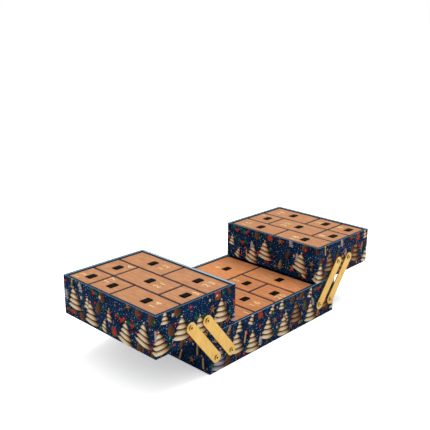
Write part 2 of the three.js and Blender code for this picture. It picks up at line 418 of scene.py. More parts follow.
def cone(x, y, chance):
    """A pine cone with rows of scales."""
    half_width, half_height = 5.6, 9.5
    row_height, scale_width = 2.7, 3.2
    girth = half_width - y * 0.22
    mask = within((far(x / girth, y / half_height) - 1) * 6)
    level = (y + x * x * 0.05) / row_height
    scale = (x / scale_width + level.floor() * 0.5).fraction() - 0.5
    light = 0.62 - level.fraction() * 0.5 + 0.2 * (1 - abs(scale) * 2) - x * 0.03
    return [(mask, shades(light, BARK))]


def bell(x, y, chance):
    """A brown or mauve bell with a band, and its clapper below."""
    height, foot = 14, -6.5
    climb = (y - foot) / height
    low = (1 - climb).clamped()
    reach = (1 - climb ** 5).clamped().root() * (3 + 4.4 * low ** 3)
    body = within(abs(x) - reach) * (climb > 0) * (climb < 1)
    clapper = within(far(x, y + 7.2) - 1.7)
    band = within(abs(climb - 0.2) * height - 0.8)
    side = x / 6 + 0.35
    light = 0.95 - side * side * 0.5 - band * 0.35
    coat = mixed(chance > 0.5, shades(light, BARK), shades(light, MAUVE))
    return [(body.most(clapper), coat)]


def star(x, y, chance):
    """A five-pointed star with a ridge along each arm."""
    size = 0.85
    arms = 5
    x, y = x * size, y * size
    beam = (x.maths("ARCTAN2", x, y) * (arms / math.tau)).fraction()
    point = abs(beam - 0.5) * 2
    limit = 3.4 / (1.45 - point * point * 0.98)
    light = 0.55 + 0.4 * (beam > 0.5)
    return [(within(far(x, y) - limit), shades(light, BARK))]


def holly(x, y, chance):
    """Two holly leaves and their three berries."""
    leaf_middle, half_length, half_width, berry = 5.6, 5.2, 2.9, 1.8
    aside = abs(x)
    lifted = y - aside * 0.28
    edge = half_width + 0.7 * (aside * 2.1).sine()
    leaves = within((far((aside - leaf_middle) / half_length, lifted / edge) - 1) * 3)
    pair = far(aside - 1.6, y + 0.4) - berry
    low = far(x, y + 3) - berry
    return [(leaves, linear("1d5c45")), (within(pair.least(low)), linear("c9222c"))]


def parcel(x, y, chance):
    """A parcel with a ribbon and a bow."""
    half_width, half_height, bow_radius = 5.6, 5.2, 1.7
    upright = abs(x) - 0.9
    level = abs(y + 1) - 0.8
    body = within((abs(x) - half_width).most(abs(y + 1) - half_height))
    bow = within(far(abs(x) - 2.4, y - 5.8) - bow_radius)
    ribbon = body * within(upright.least(level))
    return [(body.most(bow), linear("74482f")), (ribbon.most(bow), linear("d8322f"))]


def young_fir(x, y, chance):
    """A small fir of pale wood."""
    height, half_width, tiers = 20, 8, 3.4
    mask, light = fir(x, y + 9, height, half_width, tiers)
    return [(mask, shades(light, WOOD))]


def candle(x, y, chance):
    """A candle with its flame."""
    half_width, half_height = 2.3, 6
    wax = within((abs(x) - half_width).most(abs(y + 3) - half_height))
    flame = within((far(x / 1.6, (y - 6.4) / 3) - 1) * 1.6)
    return [(wax, shades(0.75 - abs(x + 0.6) * 0.2, WOOD)), (flame, linear("f3b64b"))]


def twig(x, y, chance):
    """A brown twig with pairs of side shoots."""
    spacing, half_width, half_height = 4.6, 4.6, 8.4
    aside = abs(x - y * y * 0.03)
    level = (y / spacing + 0.3).fraction() * spacing
    shoot = (abs(aside - level * 0.9) - 0.75).most(aside - half_width)
    stem = aside - 0.8
    mask = within(stem.least(shoot)) * within(abs(y) - half_height)
    return [(mask, linear("6e4830"))]


# The charms, and the share of the cells that each of them gets
CHARMS = (
    (cone, 0.2),
    (bell, 0.18),
    (star, 0.1),
    (holly, 0.1),
    (parcel, 0.08),
    (young_fir, 0.1),
    (candle, 0.07),
    (twig, 0.1),
)


def charms(u, v, seed, ground):
    """Small charms over a ground, one in nearly every cell."""
    cell_width, cell_height, size = 29, 26, 1.2
    x, y, (kind, place, lean) = cells(u, v, cell_width, cell_height, 0.5, seed)
    x = (x + (place - 0.5) * 8) / size
    y = (y + (lean - 0.5) * 6) / size
    x, y = tilted(x, y, (place - 0.5) * 0.8)
    drawn = kind < sum(share for _, share in CHARMS)
    shadow = within(far(x - 1.6, y + 2) - 6.5, 7) * drawn
    ground = dimmed(ground, 1 - 0.75 * shadow)
    start = 0
    for charm, share in CHARMS:
        chosen = (kind > start) * (kind < start + share)
        start += share
        for mask, colour in charm(x, y, place):
            ground = mixed(mask * chosen, ground, colour)
    return ground


def baubles(u, v, seed, ground):
    """Small round baubles and long drops, in three cells out of five."""
    cell_width, cell_height = 19, 17.5
    x, y, (kind, place, size) = cells(u, v, cell_width, cell_height, 0.37, seed)
    x, y = tilted(x + (place - 0.5) * 7, y + (size - 0.5) * 6, (size - 0.5) * 1.4)
    drawn = kind < 0.6
    long_drop = place < 0.3
    radius = (2.4 + 1.5 * size) * (1 - 0.35 * long_drop)
    away = far(x, y * (0.85 - 0.4 * long_drop))
    shadow = within(far(x - 1, y + 1.4) - radius, 2.5) * drawn
    ground = dimmed(ground, 1 - 0.6 * shadow)
    tint = shades(kind, BAUBLES)
    tint.socket.node.color_ramp.interpolation = "CONSTANT"
    shine = far(x + radius * 0.3, y - radius * 0.35) / radius
    lit = dimmed(tint, (1.3 - shine * 0.75).clamped())
    glint = within(far(x + radius * 0.32, y - radius * 0.38) - radius * 0.16)
    lit = mixed(glint * 0.7, lit, linear("ffffff"))
    return mixed(within(away - radius) * drawn, ground, lit)


def firs(u, v, settings, seed, ground):
    """A row of large firs that stand high and low by turns."""
    spacing = settings.fir_spacing
    one_row = 1000
    x, _, (tint, place, rise) = cells(u, v + one_row / 2, spacing, one_row, 0, seed)
    column = (u / spacing).floor()
    high = column.maths("FLOORED_MODULO", column, 2)
    foot = high * 13 + rise * 8 - 3
    x, y = tilted(x + (place - 0.5) * 9, v - foot, (rise - 0.5) * 0.3)
    drawn = place < 0.86
    size = (settings.fir_height, settings.fir_width / 2, settings.fir_tiers)
    shadow, _ = fir(x - 2.6, y + 2.2, *size)
    ground = dimmed(ground, 1 - 0.75 * shadow * drawn)
    mask, light = fir(x, y, *size)
    wood = mixed(tint > 0.6, shades(light, WOOD), shades(light, BARK))
    wood = mixed(tint > 0.82, wood, shades(light, MAUVE))
    return mixed(mask * drawn, ground, wood)


def specks(u, v, ground):
    """Fine snow over the navy ground, in two sizes: dots per millimetre, radius and strength."""
    place = u.node("CombineXYZ", {}, {"X": u, "Y": v})
    for scale, size, strength in ((0.17, 0.17, 0.95), (0.3, 0.17, 0.85)):
        dots = u.node("TexVoronoi", {"voronoi_dimensions": "2D"}, {"Vector": place, "Scale": scale})
        chance = u.node("SeparateColor", {}, {"Color": dots["Color"]})["Red"]
        dot = within(dots["Distance"] - size * chance * chance + 0.03, 0.05)
        ground = mixed(dot * strength, ground, linear("dfe4e6"))
    return ground


# Looks. Each gives the sockets of a material's shader


def paper_finish(sheet, colour, roughness, gloss, waves=2600, strength=0.2, depth=0.00004):
    """The sockets of a paper of a colour, with fine fibres in it."""
    fibre = grain(sheet, waves, 3)
    return {
        "Base Color": colour,
        "Roughness": roughness + 0.1 * fibre,
        "Normal": bumped(fibre, strength, depth),
        "Specular IOR Level": gloss,
    }


def clouded(sheet, colour):
    """A paper's colour, a little darker in places."""
    return mixed(grain(sheet, 120, 3), toned(colour, 0.8), tuple(colour))


def printed_paper(sheet, settings):
    """Navy paper printed with firs, small charms and baubles."""
    u, v = mapped(sheet, PRINT_MAP)
    ground = mixed(grain(sheet, 55), toned(settings.ground, 0.45), toned(settings.ground, 1.7))
    ground = specks(u, v, ground)
    ground = charms(u, v, 3, ground)
    ground = baubles(u, v, 11, ground)
    ground = firs(u, v, settings, 5, ground)
    return paper_finish(sheet, ground, 0.45, 0.02, waves=2500, strength=0.12, depth=0.00003)


def navy_paper(sheet, colour):
    """Plain navy paper over board."""
    return paper_finish(sheet, clouded(sheet, colour), 0.5, 0.04)


def rim_paper(sheet, settings, colour):
    """Paper over the rims, with painted highlights: a pale band along the back wall and a paler one along
    the right.
    """
    from_right, from_back = mapped(sheet, PRINT_MAP)
    patchiness = 0.75 + 0.5 * grain(sheet, 260, 3)
    paper = clouded(sheet, colour)
    band_start = 1
    band_half = (settings.wall / MM - band_start) / 2
    for distance, pale in ((from_back, settings.worn_rim), (from_right, settings.bare_rim)):
        # Painted highlight: a pale band along the rim, broken up by noise
        highlight_band = within(abs(distance - band_start - band_half) - band_half, 0.6)
        paper = mixed((highlight_band * patchiness).clamped(), paper, pale)
    return paper_finish(sheet, paper, 0.4, 0.05)


def kraft_board(sheet, settings, number, tint):
    """Kraft board: fine streaks along the carton, with light and dark fibres."""
    seed = 3.7 * number
    streaks = grain(sheet, (380, 45, 380), 3, seed)
    blotches = grain(sheet, (30, 22, 30), 2, seed)
    fibres = grain(sheet, (1500, 420, 1500), 2, seed + 1)
    # The tint warms or lightens a board; on the base's cartons it is painted light
    base = tuple(c * share for c, share in zip(settings.kraft, tint))
    dark = (base[0] * 0.8, base[1] * 0.76, base[2] * 0.7)
    board = mixed((streaks * 3 - 1).clamped(), dark, toned(base, 1.2))
    board = mixed((blotches * 0.6 - 0.15).clamped(), board, base)
    light_fibre = ((fibres - 0.6) * 4).clamped()
    dark_fibre = ((0.42 - fibres) * 4).clamped()
    board = mixed(light_fibre * 0.35, board, toned(base, 1.7))
    board = mixed(dark_fibre * 0.4, board, toned(base, 0.42))
    return {
        "Base Color": board,
        "Roughness": 0.62 + 0.2 * fibres,
        "Normal": bumped(fibres + streaks * 0.6, 0.25, 0.00006),
        "Specular IOR Level": 0.15,
    }


def black_ribbon(sheet, settings):
    """Black ribbon with fine ribs across it and a firm edge."""
    rib_pitch, thread_pitch, edge_width = 0.6, 0.35, 1
    across, along = mapped(sheet, RIBBON_MAP)
    rib = (along * (math.tau / rib_pitch)).sine() * 0.5 + 0.5
    thread = (across * (math.tau / thread_pitch)).sine() * 0.5 + 0.5
    edge = within(settings.width / MM / 2 - edge_width - abs(across))
    weave = rib * (1 - edge) + thread * edge * 0.6
    patchiness = grain(sheet, 300)
    return {
        "Base Color": mixed(rib * 0.3 + patchiness * 0.35, settings.colour, toned(settings.colour, 1.5)),
        "Roughness": 0.55 + 0.2 * patchiness,
        "Normal": bumped(weave, 0.6, 0.00008),
        "Specular IOR Level": 0.03,
    }


def gold_foil(sheet, settings):
    """Pressed gold foil on kraft."""
    press = grain(sheet, (1500, 900, 1500), 3)
    return {
        "Base Color": mixed(press, toned(settings.foil, 0.82), settings.foil),
        "Metallic": 0.35,
        "Roughness": 0.4 + 0.25 * press,
        "Normal": bumped(press, 0.25, 0.00003),
    }


def satin_gold(sheet, settings, roughness, streak):
    """Brushed satin gold: streaks, soft clouds and a few fine scratches."""
    brush = grain(sheet, streak, 3)
    cloud = grain(sheet, (70, 70, 45), 2, 2)
    scratch = grain(sheet, (1800, 1800, 60), 1, 5)
    red, green, blue = settings.gold
    deep = (red * 0.96, green * 0.82, blue * 0.55)
    gold = mixed((cloud * 1.6 - 0.3).clamped(), deep, toned(settings.gold, 1.12))
    return {
        "Base Color": dimmed(gold, 1 - 0.12 * brush),
        "Metallic": 0.92,
        "Roughness": roughness + 0.12 * brush,
        "Normal": bumped(brush + scratch * 0.5, 0.2, 0.00003),
    }


def burnished_gold(sheet):
    """Painted shade: dark metal down a rivet's hole and round the foot of its head, where shade falls."""
    mottle = grain(sheet, 1200)
    return {
        "Base Color": mixed(mottle, linear("3a2412"), linear("7a5228")),
        "Metallic": 0.7,
        "Roughness": 0.45 + 0.2 * mottle,
    }


# Meshes

CREASE = math.radians(35)
SHARP = math.radians(30)
SAME_PLACE = 1e-6


def put(name, data):
    """A new object in the scene."""
    thing = bpy.data.objects.new(name, data)
    bpy.context.scene.collection.objects.link(thing)
    return thing


def shown(name, mesh, materials, node, replaces=True):
    """A piece that rides on a CAD node's body, and stands for the node or adds to it."""
    piece = put(name, mesh)
    for material in materials:
        mesh.materials.append(material)
    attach(piece, frame["nodes"][node]["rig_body"])
    if replaces:
        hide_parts(node)
    return piece


def level_normals(piece):
    """Keep flat faces flat beside their rounded edges."""
    piece.modifiers.new("level", "WEIGHTED_NORMAL").keep_sharp = True


def joined(mesh, gap):
    """A form of a mesh, with the points joined that are closer than a gap."""
    form = bmesh.new()
    form.from_mesh(mesh)
    bmesh.ops.remove_doubles(form, verts=form.verts, dist=gap)
    return form


def mesh_of(form, name):
    """A form's mesh. The form is used up."""
    mesh = bpy.data.meshes.new(name)
    form.to_mesh(mesh)
    form.free()
    return mesh


def creased(form):
    """The form with smooth faces, and a crease where two of them meet sharply."""
    for face in form.faces:
        face.smooth = True
    for edge in form.edges:
        edge.smooth = edge.calc_face_angle(0) < CREASE
    return form


def round_off(form, edges, radius, segments=3, clamp=True):
    """Round some of a form's edges."""
    bmesh.ops.bevel(
        form, geom=edges, offset=radius, segments=segments, profile=0.5, affect="EDGES",
        clamp_overlap=clamp)


def softened(node, radius, rim_radius=0):
    """A CAD piece's mesh with its sharp edges rounded, and its top ones more where asked."""
    form = joined(frame["nodes"][node].data, SAME_PLACE)
    bmesh.ops.dissolve_limit(form, angle_limit=math.radians(1), verts=form.verts, edges=form.edges)
    if rim_radius:
        top = max(vert.co.z for vert in form.verts)
        rim = [
            edge for edge in form.edges
            if edge.calc_face_angle(0) > SHARP and all(top - vert.co.z < SAME_PLACE for vert in edge.verts)
        ]
        round_off(form, rim, rim_radius, 5)
    round_off(form, [edge for edge in form.edges if edge.calc_face_angle(0) > SHARP], radius)
    mesh = mesh_of(creased(form), node)
    if "custom_normal" in mesh.attributes:
        mesh.attributes.remove(mesh.attributes["custom_normal"])
    return mesh


def paper_on(face, low, high, rim_radius):
    """Which paper covers a face of a box's walls."""
    normal = face.normal
    middle = face.center
    skin = 2.2 * MM
    if middle.z > high.z - rim_radius:
        return RIM if normal.z > 0.95 else RIM_EDGE
    outward = any(
        (normal[axis] > 0.3 and middle[axis] > high[axis] - skin)
        or (normal[axis] < -0.3 and middle[axis] < low[axis] + skin)
        for axis in (0, 1))
    return PRINTED if outward and abs(normal.z) < 0.5 else LINED


def lay_print(mesh, low, high, rim_radius, start):
    """Give the outside faces the print, laid round the box from its front left corner.

    The start is how far along the print that corner lies. On the rims the map holds the
    distances from the right and the back of the box.
    """
    width = high.x - low.x
    depth = high.y - low.y
    layer = mesh.uv_layers.new(name=PRINT_MAP)
    for face in mesh.polygons:
        face.material_index = paper_on(face, low, high, rim_radius)
        normal = face.normal
        for loop in face.loop_indices:
            place = mesh.vertices[mesh.loops[loop].vertex_index].co
            if face.material_index >= RIM:
                layer.data[loop].uv = (high.x - place.x, high.y - place.y)
                continue
            if abs(normal.y) >= abs(normal.x):
                back = width + depth + high.x - place.x
                round_box = place.x - low.x if normal.y < 0 else back
            else:
                side = place.y - low.y
                round_box = width + side if normal.x > 0 else -side
            layer.data[loop].uv = (start + round_box, place.z - low.z)


def board_block(low, high, pockets):
    """A block with pockets in its top: each is (x0, y0, x1, y1, floor height)."""
    xs = sorted({low.x, high.x, *(x for pocket in pockets for x in (pocket[0], pocket[2]))})
    ys = sorted({low.y, high.y, *(y for pocket in pockets for y in (pocket[1], pocket[3]))})
    form = bmesh.new()
    corners = {}

    def corner(x, y, z):
        key = (round(x, 7), round(y, 7), round(z, 7))
        if key not in corners:
            corners[key] = form.verts.new((x, y, z))
        return corners[key]

    def height(column, row):
        if not (0 <= column < len(xs) - 1 and 0 <= row < len(ys) - 1):
            return low.z
        x = (xs[column] + xs[column + 1]) / 2
        y = (ys[row] + ys[row + 1]) / 2
        for x0, y0, x1, y1, floor in pockets:
            if x0 < x < x1 and y0 < y < y1:
                return floor
        return high.z

    def face(*places):
        form.faces.new([corner(*place) for place in places])

    for column, (x0, x1) in enumerate(zip(xs, xs[1:])):
        for row, (y0, y1) in enumerate(zip(ys, ys[1:])):
            top = height(column, row)
            face((x0, y0, top), (x1, y0, top), (x1, y1, top), (x0, y1, top))
            face((x0, y0, low.z), (x0, y1, low.z), (x1, y1, low.z), (x1, y0, low.z))
            sides = (
                (x0, y0, x1, y0, height(column, row - 1)),
                (x1, y0, x1, y1, height(column + 1, row)),
                (x1, y1, x0, y1, height(column, row + 1)),
                (x0, y1, x0, y0, height(column - 1, row)),
            )
            for ax, ay, bx, by, beside in sides:
                if beside < top:
                    face((ax, ay, beside), (bx, by, beside), (bx, by, top), (ax, ay, top))
    return form


def on_outline(edge, low, high):
    """Whether an edge is one of a block's twelve outer ones, or a part of one."""
    touching = 0
    for axis in range(3):
        for side in (low[axis], high[axis]):
            touching += all(abs(vert.co[axis] - side) < SAME_PLACE for vert in edge.verts)
    return touching >= 2


def carton_mesh(name, low, high, carton, slit):
    """A tuck-top carton: rounded folds, a seam on three sides of its lid, and the ribbon's slit."""
    inset = carton.seam_inset
    gap = carton.seam_width
    x0, x1 = low.x + inset, high.x - inset
    y0, y1 = low.y + inset, high.y - inset
    floor = high.z - carton.seam_depth
    pockets = [
        (x0, y0, x0 + gap, y1, floor),
        (x1 - gap, y0, x1, y1, floor),
        (x0 + gap, y0, x1 - gap, y0 + gap, floor),
        slit,
    ]
    form = board_block(low, high, pockets)
    nearly_square = math.radians(80)
    outline = [
        edge for edge in form.edges
        if edge.calc_face_angle(0) > nearly_square and on_outline(edge, low, high)
    ]
    round_off(form, outline, carton.edge_radius, clamp=False)
    return mesh_of(creased(form), name)


def rounded_path(points, rounds):
    """A path whose corners are cut again and again, with its ends kept."""
    for _ in range(rounds):
        cut = [points[0]]
        for start, end in zip(points, points[1:]):
            cut.append(start.lerp(end, 0.25))
            cut.append(start.lerp(end, 0.75))
        cut.append(points[-1])
        points = cut
    return points


def loop_path(ribbon):
    """The ribbon's middle line in Y and Z, from inside the slit to the fold and back."""
    ply = ribbon.thickness
    slit = ribbon.length / 2
    fold = -ribbon.length / 2 + ply
    root = -ribbon.slit_depth * 0.9
    low_ply = ply * 0.7
    top_ply = ribbon.height - ply / 2
    points = (
        (slit + ply * 0.5, root),
        (slit + ply * 0.5, -ply),
        (slit + ply * 0.1, low_ply),
        (slit - 3 * ply, low_ply),
        (0, low_ply),
        (fold + 2.5 * ply, low_ply),
        (fold - ply * 0.4, low_ply),
        (fold - ply * 0.4, top_ply),
        (fold + 2.5 * ply, top_ply),
        (0, top_ply * 0.94),
        (slit - 3 * ply, top_ply * 0.72),
        (slit + ply * 1.4, low_ply * 2.2),
        (slit + ply * 1.6, -ply),
        (slit + ply * 1.6, root),
    )
    return rounded_path([Vector((0, y, z)) for y, z in points], 2)


def loop_mesh(name, ribbon, curl, lean):
    """A strip of ribbon along the loop's path, with its sides a little raised."""
    path = loop_path(ribbon)
    stations = 10
    form = bmesh.new()
    layer = form.loops.layers.uv.new(RIBBON_MAP)
    rows = []
    run = 0
    previous = path[0]
    for point in path:
        run += (point - previous).length
        previous = point
        free = max(0, min(1, (point.z - ribbon.thickness) / ribbon.height))
        row = []
        for station in range(stations + 1):
            share = 2 * station / stations - 1
            x = share * ribbon.width / 2
            y = point.y + lean * x * free
            z = point.z + curl * share * share * free
            row.append((form.verts.new((x, y, z)), (x, run)))
        rows.append(row)
    for row, following in zip(rows, rows[1:]):
        for station in range(stations):
            ring = (row[station], row[station + 1], following[station + 1], following[station])
            face = form.faces.new([vert for vert, _ in ring])
            for loop, (_, place) in zip(face.loops, ring):
                loop[layer].uv = place
            face.smooth = True
    return mesh_of(form, name)


def form_of(curve, gap):
    """A curve's faces, joined across a gap and turned outward. The curve is used up."""
    holder = put(curve.name, curve)
    bpy.context.view_layer.update()
    mesh = bpy.data.meshes.new_from_object(holder.evaluated_get(bpy.context.evaluated_depsgraph_get()))
    bpy.data.objects.remove(holder)
    bpy.data.curves.remove(curve)
    form = joined(mesh, gap)
    bpy.data.meshes.remove(mesh)
    bmesh.ops.recalc_face_normals(form, faces=form.faces)
    return form


def plate_mesh(name, rings, thickness, radius):
    """A flat plate with rounded edges. Its first ring of points is the outline, the others are holes."""
    curve = bpy.data.curves.new(name, "CURVE")
    curve.dimensions = "2D"
    curve.fill_mode = "BOTH"
    curve.extrude = thickness / 2 - radius
    curve.bevel_depth = radius
    curve.bevel_resolution = 2
    curve.offset = -radius
    for ring in rings:
        spline = curve.splines.new("POLY")
        spline.points.add(len(ring) - 1)
        for point, (x, y) in zip(spline.points, ring):
            point.co = (x, y, 0, 1)
        spline.use_cyclic_u = True
    return mesh_of(creased(form_of(curve, SAME_PLACE)), name)


def number_mesh(name, text, settings):
    """A number as a thin sheet of foil, with its middle at the origin."""
    digit_height = 0.73
    curve = bpy.data.curves.new(name, "FONT")
    curve.body = text
    curve.size = settings.height / digit_height
    curve.space_character = settings.spacing
    curve.align_x = curve.align_y = "CENTER"
    curve.extrude = settings.thickness / 2
    curve.resolution_u = 6
    return mesh_of(form_of(curve, SAME_PLACE / 10), name)


def arc(x, y, radius, start, end, segments):
    """Points of an arc, with angles in turns."""
    angles = [math.tau * (start + (end - start) * step / segments) for step in range(segments + 1)]
    return [(x + radius * math.cos(angle), y + radius * math.sin(angle)) for angle in angles]


def turned(name, profile, segments):
    """A mesh revolved about Y. The profile is (radius, y) pairs, from axis to axis."""
    form = bmesh.new()
    rings = []
    for radius, y in profile:
        if radius == 0:
            rings.append([form.verts.new((0, y, 0))])
            continue
        angles = [math.tau * step / segments for step in range(segments)]
        rings.append([form.verts.new((radius * math.cos(a), y, radius * math.sin(a))) for a in angles])
    for ring, following in zip(rings, rings[1:]):
        for step in range(segments):
            after = (step + 1) % segments
            corners = [ring[step % len(ring)], ring[after % len(ring)]]
            corners += [following[after % len(following)], following[step % len(following)]]
            form.faces.new(list(dict.fromkeys(corners)))
    bmesh.ops.recalc_face_normals(form, faces=form.faces)
    return mesh_of(creased(form), name)


def rivet_profile(head, length, settings):
    """A hollow rivet: a rounded ring with a flared mouth, a shank and an inner flange.

    The ring's crest is at height 0.
    """
    head_height = 1.7 * MM
    shank = 2 * MM
    flange = 3.4 * MM
    flange_thickness = 0.8 * MM
    flare = 1.3 * MM
    mouth = settings.mouth_radius
    bore = settings.bore_radius
    profile = [(0, -settings.bore_depth), (bore, -settings.bore_depth), (bore, -flare)]
    steps = 6
    angles = [math.pi / 2 * step / steps for step in range(1, steps + 1)]
    for angle in angles:
        profile.append((bore + (mouth - bore) * (1 - math.cos(angle)), flare * (math.sin(angle) - 1)))
    for angle in angles:
        radius = mouth + (head - mouth) * math.sin(angle)
        profile.append((radius, -head_height * 0.9 * (1 - math.cos(angle))))
    return profile + [
        (head, -head_height),
        (shank, -head_height),
        (shank, flange_thickness - length),
        (flange, flange_thickness - length),
        (flange, -length),
        (0, -length),
    ]


def middle_of(node):
    """The middle of a CAD node's box."""
    low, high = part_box(node)
    return (low + high) / 2


def carton_nodes():
    """Each carton's box, its count there and its CAD node."""
    for box in BOXES:
        for count in range(CARTONS_PER_BOX):
            yield box, count, f"{box}_carton_{count + 1}"


def lay_on(mesh, node, aside, ahead, below):
    """Move a mesh onto a carton: from the carton's middle, and from the top of its loop down."""
    low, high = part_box(node)
    middle = (low + high) / 2
    mesh.transform(Matrix.Translation((middle.x + aside, middle.y + ahead, high.z - below)))


def arm_labels():
    """What each arm's name starts with, and the face of the boxes that it is on."""
    for side in SIDES:
        for arm in ARMS:
            for face in FACES:
                yield f"{side}_{arm}_{face}", face


# Operators, one for each kind of piece


class CALENDAR_OT_walls(bpy.types.Operator):
    """Wrap the three boxes' walls in printed paper"""

    bl_idname = "calendar.walls"
    bl_label = "Walls"

    def execute(self, context):
        settings = context.scene.calendar_boards
        papers = [
            finished("printed_paper", printed_paper, settings),
            finished("inside_paper", navy_paper, settings.inside),
            # The rims' paper carries painted highlight bands along the back and right walls
            finished("rim_paper", rim_paper, settings, settings.rim),
            # Painted highlight: pale paper on the rims' rounded edges
            finished("rubbed_rim_paper", rim_paper, settings, settings.rim_edge),
        ]
        for count, box in enumerate(BOXES):
            node = f"{box}_walls"
            mesh = softened(node, settings.edge_radius, settings.rim_radius)
            lay_print(mesh, *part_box(node), settings.rim_radius, count * settings.print_step)
            level_normals(shown(f"{box}_printed_walls", mesh, papers, node))
        return {"FINISHED"}


class CALENDAR_OT_boards(bpy.types.Operator):
    """Cover the floors and the divider grids with plain navy paper"""

    bl_idname = "calendar.boards"
    bl_label = "Floors and dividers"

    def execute(self, context):
        settings = context.scene.calendar_boards
        paper = finished("divider_paper", navy_paper, settings.lining)
        for box in BOXES:
            for part in ("floor", "dividers"):
                node = f"{box}_{part}"
                mesh = softened(node, settings.edge_radius / 2)
                level_normals(shown(f"{box}_lined_{part}", mesh, [paper], node))
        return {"FINISHED"}


class CALENDAR_OT_cartons(bpy.types.Operator):
    """Fold the kraft cartons"""

    bl_idname = "calendar.cartons"
    bl_label = "Cartons"

    def execute(self, context):
        carton = context.scene.calendar_cartons
        ribbon = context.scene.calendar_ribbons
        # Painted light: the base's cartons are warmer and its last two brighter, standing in for the light
        # that falls into the base between the trays
        plain = (1, 1, 1)
        painted_warm_light = (1.06, 0.89, 0.72)
        painted_strong_light = tuple(1.25 * share for share in painted_warm_light)
        tints = (painted_warm_light, painted_warm_light, painted_warm_light, painted_strong_light, plain, plain, plain, plain)
        boards = [
            finished(f"kraft_board_{number}", kraft_board, carton, number, tint)
            for number, tint in enumerate(tints)
        ]
        stocks = {"base": boards[:4], "tray": boards[4:]}
        for box, count, node in carton_nodes():
            low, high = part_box(node)
            high.z -= ribbon.height
            middle = (low + high) / 2
            slit_half = ribbon.width / 2 + ribbon.clearance
            slit_start = middle.y - ribbon.forward + ribbon.length / 2 - ribbon.clearance
            slit = (
                middle.x - slit_half, slit_start,
                middle.x + slit_half, slit_start + ribbon.slit_width,
                high.z - ribbon.slit_depth)
            mesh = carton_mesh(node, low, high, carton, slit)
            stock = stocks[box.split("_")[-1]]
            board = stock[count * len(stock) // CARTONS_PER_BOX]
            level_normals(shown(f"{node}_board", mesh, [board], node))
        return {"FINISHED"}


class CALENDAR_OT_ribbons(bpy.types.Operator):
    """Thread a black ribbon loop through each carton's slit"""

    bl_idname = "calendar.ribbons"
    bl_label = "Ribbon loops"

    def execute(self, context):
        ribbon = context.scene.calendar_ribbons
        black = finished("black_ribbon", black_ribbon, ribbon)
        chance = random.Random(12)
        for _, _, node in carton_nodes():
            curl = chance.uniform(0.02, 0.25) * MM
            lean = chance.uniform(-0.05, 0.05)
            mesh = loop_mesh(f"{node}_ribbon", ribbon, curl, lean)
            lay_on(mesh, node, 0, -ribbon.forward, ribbon.height)
            piece = shown(f"{node}_ribbon", mesh, [black], node, replaces=False)
            thicken = piece.modifiers.new("thickness", "SOLIDIFY")
            thicken.thickness = ribbon.thickness
            thicken.offset = 0
        return {"FINISHED"}


class CALENDAR_OT_numbers(bpy.types.Operator):
    """Press a gold number on each carton"""

    bl_idname = "calendar.numbers"
    bl_label = "Numbers"

    def execute(self, context):
        settings = context.scene.calendar_numbers
        ribbon = context.scene.calendar_ribbons
        foil = finished("gold_foil", gold_foil, settings)
        for box, count, node in carton_nodes():
            aside, ahead = NUMBER_PLACES[box][count]
            mesh = number_mesh(f"{node}_number", str(NUMBERS[box][count]), settings)
            lay_on(mesh, node, aside * MM, ahead * MM, ribbon.height - settings.thickness / 2)
            shown(f"{node}_number", mesh, [foil], node, replaces=False)
        return {"FINISHED"}


class CALENDAR_OT_arms(bpy.types.Operator):
    """Cut the eight gold arms"""

    bl_idname = "calendar.arms"
    bl_label = "Arms"

    def execute(self, context):
        settings = context.scene.calendar_arms
        gold = finished("satin_gold", satin_gold, settings, 0.34, (900, 900, 120))
        end = settings.width / 2
        steps = settings.segments
        for label, _ in arm_labels():
            node = f"{label}_arm"
            lower = middle_of(f"{label}_base_rivet")
            upper = middle_of(f"{label}_tray_rivet")
            length = math.hypot(upper.x - lower.x, upper.z - lower.z)
            outline = arc(0, length, end, 0, 0.5, steps) + arc(0, 0, end, 0.5, 1, steps)
            holes = [arc(0, y, settings.hole_radius, 0, 1, steps)[:-1] for y in (0, length)]
            mesh = plate_mesh(label, [outline, *holes], settings.thickness, settings.edge_radius)
            stand = Matrix.Rotation(math.pi / 2, 4, "X")
            tilt = Matrix.Rotation(math.atan2(upper.x - lower.x, upper.z - lower.z), 4, "Y")
            move = Matrix.Translation((lower.x, middle_of(node).y, lower.z))
            mesh.transform(move @ tilt @ stand)
            level_normals(shown(f"{label}_gold_arm", mesh, [gold], node))
        return {"FINISHED"}


class CALENDAR_OT_rivets(bpy.types.Operator):
    """Turn the sixteen rivets"""

    bl_idname = "calendar.rivets"
    bl_label = "Rivets"

    def execute(self, context):
        settings = context.scene.calendar_arms
        metals = [
            finished("polished_gold", satin_gold, settings, 0.22, 500),
            finished("burnished_gold", burnished_gold),
        ]
        for label, face in arm_labels():
            for end in ("base", "tray"):
                self.make(f"{label}_{end}_rivet", face, metals, settings)
        return {"FINISHED"}

    def make(self, node, face, metals, settings):
        """One rivet, from the tip of its head to the flange inside the wall."""
        low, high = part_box(node)
        middle = (low + high) / 2
        head = (high.x - low.x) / 2
        mesh = turned(node, rivet_profile(head, high.y - low.y, settings), 40)
        bore_radius = 1.01 * settings.bore_radius
        bore_depth = 1.01 * settings.bore_depth
        foot_depth = 0.8 * MM
        for facet in mesh.polygons:
            away = math.hypot(facet.center.x, facet.center.z)
            in_bore = away < bore_radius and facet.center.y > -bore_depth
            at_foot = away > head * 0.95 and facet.center.y < -foot_depth
            # Painted shade: the faces down the hole and round the head's foot take the dark metal
            facet.material_index = 1 if in_bore or at_foot else 0
        facing, tip = (1, high.y) if face == "back" else (-1, low.y)
        turn = Matrix.Scale(facing, 4, (0, 1, 0))
        mesh.transform(Matrix.Translation((middle.x, tip, middle.z)) @ turn)
        if facing < 0:
            mesh.flip_normals()
        shown(f"{node}_turned", mesh, metals, node)


class CALENDAR_OT_stage(bpy.types.Operator):
    """Lay the floor, and set the lights and the camera"""

    bl_idname = "calendar.stage"
    bl_label = "Stage"

    def execute(self, context):
        settings = context.scene.calendar_stage
        lay_floor(settings)
        light_room(settings)
        place_camera()
        context.scene.view_settings.view_transform = "Standard"
        return {"FINISHED"}


